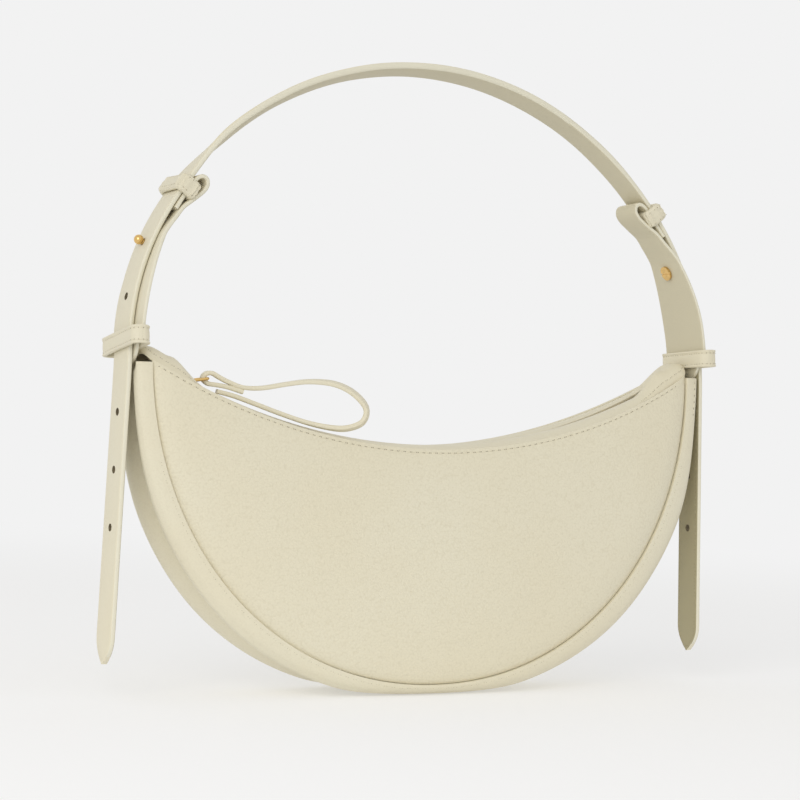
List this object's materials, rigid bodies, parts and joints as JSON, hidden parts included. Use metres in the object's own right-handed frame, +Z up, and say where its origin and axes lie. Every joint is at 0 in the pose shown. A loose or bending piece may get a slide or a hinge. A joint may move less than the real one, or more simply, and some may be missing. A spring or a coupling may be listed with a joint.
{
  "type": "half moon shoulder bag",
  "caption": "Half moon leather shoulder bag with a dipped zip mouth, pinched side gussets and an arched strap held by folded tabs, studs and keepers",
  "frame": {"origin": "on the floor under the middle of the bag's box, at the bottom of the gusset's two lobes", "axes": "+X runs along the mouth towards the bag's right arm as the picture shows it, -Y is the front panel's side, +Z is up"},
  "size_m": [0.354, 0.0588, 0.3308],
  "materials": {
    "grained_leather": "grained, slightly waxed, pale ivory",
    "lining_cloth": "plain twill",
    "zip_tape": "woven",
    "gold_metal": "polished, pale gold"
  },
  "bodies": {
    "bag": {"front_panel": "grained_leather", "back_panel": "grained_leather", "gusset": "grained_leather", "lining": "lining_cloth", "zip_facing": "grained_leather", "zip_tape_front": "zip_tape", "zip_tape_back": "zip_tape", "zip_teeth_front": "gold_metal", "zip_teeth_back": "gold_metal", "zip_stops": "gold_metal"},
    "slider": {"zip_slider": "gold_metal"},
    "link": {"pull_link": "gold_metal"},
    "loop": {"pull_loop": "grained_leather"},
    "handle": {"left_tab": "grained_leather", "right_tab": "grained_leather", "left_ring": "grained_leather", "right_ring": "grained_leather", "left_stud": "gold_metal", "right_stud": "gold_metal", "left_screw": "gold_metal", "right_screw": "gold_metal", "left_keeper": "grained_leather", "right_keeper": "grained_leather", "shoulder_strap": "grained_leather"},
    "tail_left": {"left_tail": "grained_leather"},
    "tail_right": {"right_tail": "grained_leather"}
  },
  "joints": [
    {"name": "zip_travel", "type": "hinge", "parent": "bag", "child": "slider", "pos_m": [0, 0, 0.44767], "axis": [0, -1, 0], "range_deg": [0, 49], "deforming": ["zip_teeth_front", "zip_teeth_back"]},
    {"name": "link_lift", "type": "hinge", "parent": "slider", "child": "link", "pos_m": [-0.13385, 0, 0.16046], "axis": [-0.2419, -0.9703, 0], "range_deg": [0, 110]},
    {"name": "loop_lift", "type": "hinge", "parent": "link", "child": "loop", "pos_m": [-0.12525, -0.00214, 0.16202], "axis": [-0.2419, -0.9703, 0], "range_deg": [0, 35]},
    {"name": "handle_swing", "type": "hinge", "parent": "bag", "child": "handle", "pos_m": [0, 0, 0.1795], "axis": [1, 0, 0], "range_deg": [-7.5, 22.5], "stiffness_Nm_per_rad": 0.8},
    {"name": "left_tail_swing", "type": "hinge", "parent": "handle", "child": "tail_left", "pos_m": [-0.17089, -0.00098, 0.16704], "axis": [0, 0.9969, -0.0785], "range_deg": [-6, 75], "stiffness_Nm_per_rad": 0.04},
    {"name": "right_tail_swing", "type": "hinge", "parent": "handle", "child": "tail_right", "pos_m": [0.17089, -0.00098, 0.16704], "axis": [0, -0.9969, 0.0785], "range_deg": [-6, 75], "stiffness_Nm_per_rad": 0.04}
  ],
  "couplings": [
    {"joint": "link_lift", "follows": "zip_travel", "ratio": 2.2}
  ]
}
